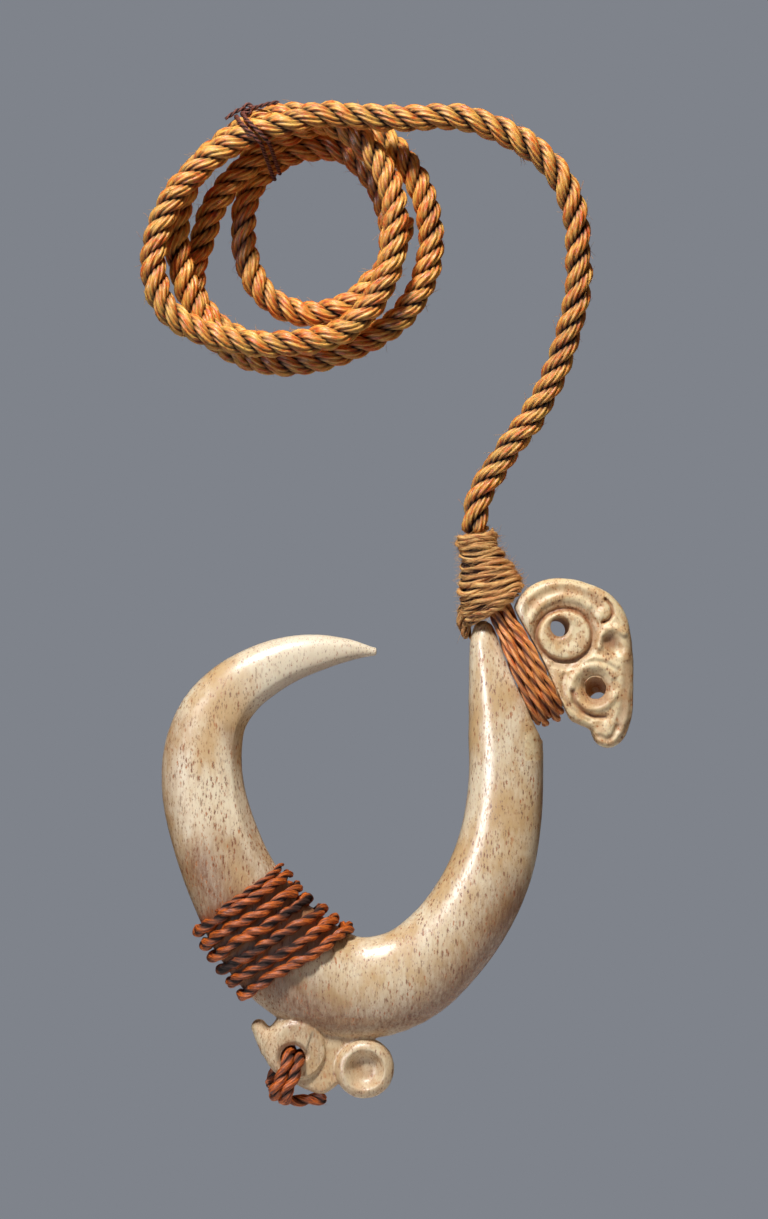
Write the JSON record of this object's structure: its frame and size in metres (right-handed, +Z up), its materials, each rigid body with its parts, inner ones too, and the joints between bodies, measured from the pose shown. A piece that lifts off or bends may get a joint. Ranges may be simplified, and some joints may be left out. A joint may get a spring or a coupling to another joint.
{
  "type": "circle hook",
  "caption": "Carved bone circle hook with a ringed head and lug, hung by a whipped strand snood from a coiled laid rope, with a cord lashing and a bait loop.",
  "frame": {"origin": "under the top of the rope coil's inmost turn, where the coil hangs on a peg", "axes": "+Z up, +X to the right and +Y away from whoever faces the hook; the hook lies in the XZ plane"},
  "size_m": [0.1634, 0.0432, 0.3343],
  "materials": {
    "bone": "satin",
    "rope": "matte",
    "snood_strand": "matte",
    "flax_twine": "matte",
    "bait_cord": "matte",
    "dark_twine": "matte"
  },
  "bodies": {
    "line": {"rope_coil": "rope", "rope_free_stretch": "rope", "coil_tie": "dark_twine", "snood_core": "snood_strand", "whipping": "flax_twine", "snood_strand_1": "snood_strand", "snood_strand_2": "snood_strand", "snood_strand_3": "snood_strand", "snood_strand_4": "snood_strand", "snood_strand_5": "snood_strand"},
    "hook": {"hook_body": "bone", "bait_lashing": "bait_cord"},
    "bait_loop": {"bait_cord": "bait_cord"}
  },
  "joints": [
    {"name": "neck_swing", "type": "hinge", "parent": "line", "child": "hook", "pos_m": [0.0764, 0, -0.1791], "axis": [0.9085, 0, 0.4179], "range_deg": [-8, 12]},
    {"name": "bait_loop_swing", "type": "hinge", "parent": "hook", "child": "bait_loop", "pos_m": [-0.00853, 0, -0.30414], "axis": [0.907, 0, -0.421], "range_deg": [-8, 8]}
  ]
}
